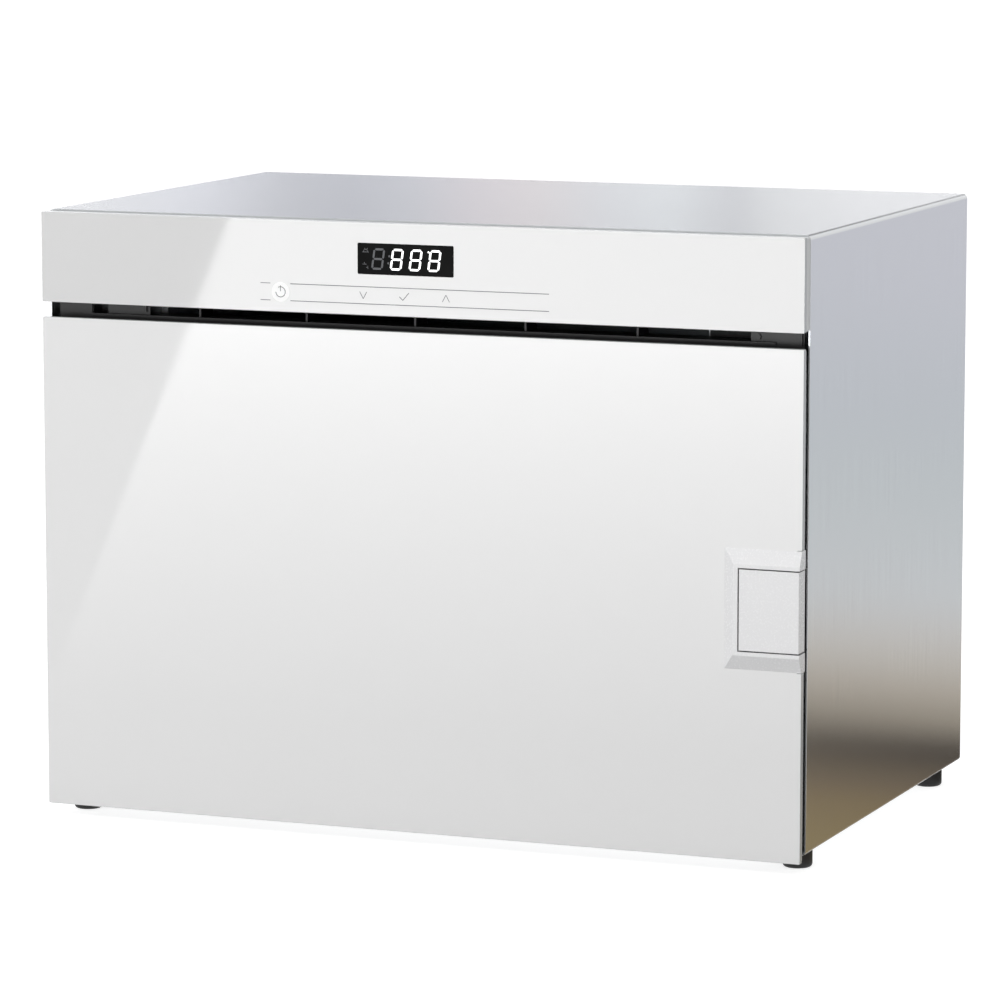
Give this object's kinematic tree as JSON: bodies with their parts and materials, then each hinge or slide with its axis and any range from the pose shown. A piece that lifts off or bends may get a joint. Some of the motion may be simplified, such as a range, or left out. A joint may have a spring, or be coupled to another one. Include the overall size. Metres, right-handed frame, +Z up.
{
  "type": "countertop steam oven",
  "caption": "Free-standing steam cabinet with a stainless wrap casing, a left-hinged white glass door with a press-to-open latch, a touch fascia and a built-in steam generator.",
  "frame": {"origin": "centre of the bounding box's bottom face, on the surface that the feet stand on", "axes": "+X to the viewer's right along the front, -Y out of the door's face, +Z up"},
  "size_m": [0.495, 0.3334, 0.38],
  "materials": {
    "casing_steel": "long-grain brushed stainless sheet",
    "sheet_steel": "plain stainless sheet",
    "screw_steel": "zinc-plated fasteners",
    "foot_rubber": "matt black",
    "cavity_steel": "satin food-grade stainless",
    "mineral_wool": "pressed mineral-wool blanket",
    "seal_silicone": "dark grey silicone",
    "rack_wire": "electropolished wire",
    "heater_aluminium": "cast aluminium pad",
    "boiler_steel": "spun stainless",
    "element_steel": "heat-tinted sheathed element",
    "black_plastic": "fine-grained black",
    "hose_silicone": "translucent off-white silicone",
    "grey_plastic": "moulded grey",
    "tank_plastic": "clear pale-blue tank",
    "pump_body": "black solenoid pump",
    "fan_plastic": "black moulded",
    "motor_metal": "dark can",
    "fascia_glass": "white back-printed glass",
    "door_glass": "white back-printed glass",
    "light_plastic": "light grey",
    "display_glass": "black window",
    "display_body": "dark readout module",
    "sensor_copper": "touch pads",
    "circuit_board": "green board",
    "component_plastic": "assorted components",
    "hinge_steel": "pressed and zinc-plated",
    "opener_white": "white moulded"
  },
  "bodies": {
    "cabinet": {"outer_casing": "casing_steel", "base_pan": "sheet_steel", "rear_panel": "sheet_steel", "rear_panel_screws": "screw_steel", "feet": "foot_rubber", "foot_screws": "screw_steel", "front_frame": "sheet_steel", "cavity_liner": "cavity_steel", "cavity_insulation": "mineral_wool", "door_seal": "seal_silicone", "shelf_rack_left": "rack_wire", "shelf_rack_right": "rack_wire", "rack_studs": "screw_steel", "steam_container": "cavity_steel", "drip_tray": "cavity_steel", "floor_heater": "heater_aluminium", "steam_generator": "boiler_steel", "generator_lid": "boiler_steel", "heating_element": "element_steel", "overheat_cutout": "black_plastic", "steam_hose": "hose_silicone", "steam_nozzle": "cavity_steel", "temperature_probe": "cavity_steel", "tank_bay": "grey_plastic", "water_tank": "tank_plastic", "water_tank_lid": "grey_plastic", "tank_coupling": "black_plastic", "coupling_socket": "black_plastic", "feed_pump": "pump_body", "pump_bracket": "sheet_steel", "water_hoses": "hose_silicone", "electronics_shelf": "sheet_steel", "fan_housing": "fan_plastic", "fan_motor": "motor_metal", "air_duct": "grey_plastic", "vent_strip": "black_plastic", "fascia_panel": "fascia_glass", "fascia_carrier": "light_plastic", "display_window": "display_glass", "display_module": "display_body", "touch_sensors": "sensor_copper", "control_board": "circuit_board", "power_board": "circuit_board", "power_components": "component_plastic", "terminal_block": "black_plastic", "cable_gland": "black_plastic", "hinge_arms": "hinge_steel", "catch_spring": "hinge_steel"},
    "door": {"door_glass": "door_glass", "door_frame": "light_plastic", "door_pan": "cavity_steel", "door_insulation": "mineral_wool", "hinge_brackets": "hinge_steel", "hinge_pins": "hinge_steel", "opener_bezel": "opener_white", "latch_mount": "hinge_steel"},
    "opener": {"opener_plate": "opener_white", "opener_spring": "hinge_steel"},
    "latch": {"latch_hook": "hinge_steel"},
    "fan_rotor": {"fan_impeller": "fan_plastic"}
  },
  "joints": [
    {"name": "door_hinge", "type": "hinge", "parent": "cabinet", "child": "door", "pos_m": [-0.2443, -0.15525, 0.16], "axis": [0, 0, -1], "range_deg": [0, 95], "deforming": ["catch_spring"]},
    {"name": "opener_press", "type": "slide", "parent": "door", "child": "opener", "axis": [0, 1, 0], "range_m": [0, 0.0025], "stiffness_N_per_m": 900, "deforming": ["opener_spring"]},
    {"name": "latch_hook_turn", "type": "hinge", "parent": "door", "child": "latch", "pos_m": [0.2255, -0.14825, 0.159], "axis": [0, 0, -1], "range_deg": [0, 12]},
    {"name": "fan_spin", "type": "hinge", "parent": "cabinet", "child": "fan_rotor", "pos_m": [-0.0975, 0.08275, 0.32], "axis": [0, 0, 1], "continuous": true}
  ],
  "couplings": [
    {"joint": "latch_hook_turn", "follows": "opener_press", "rad_per_m": 83.3}
  ]
}
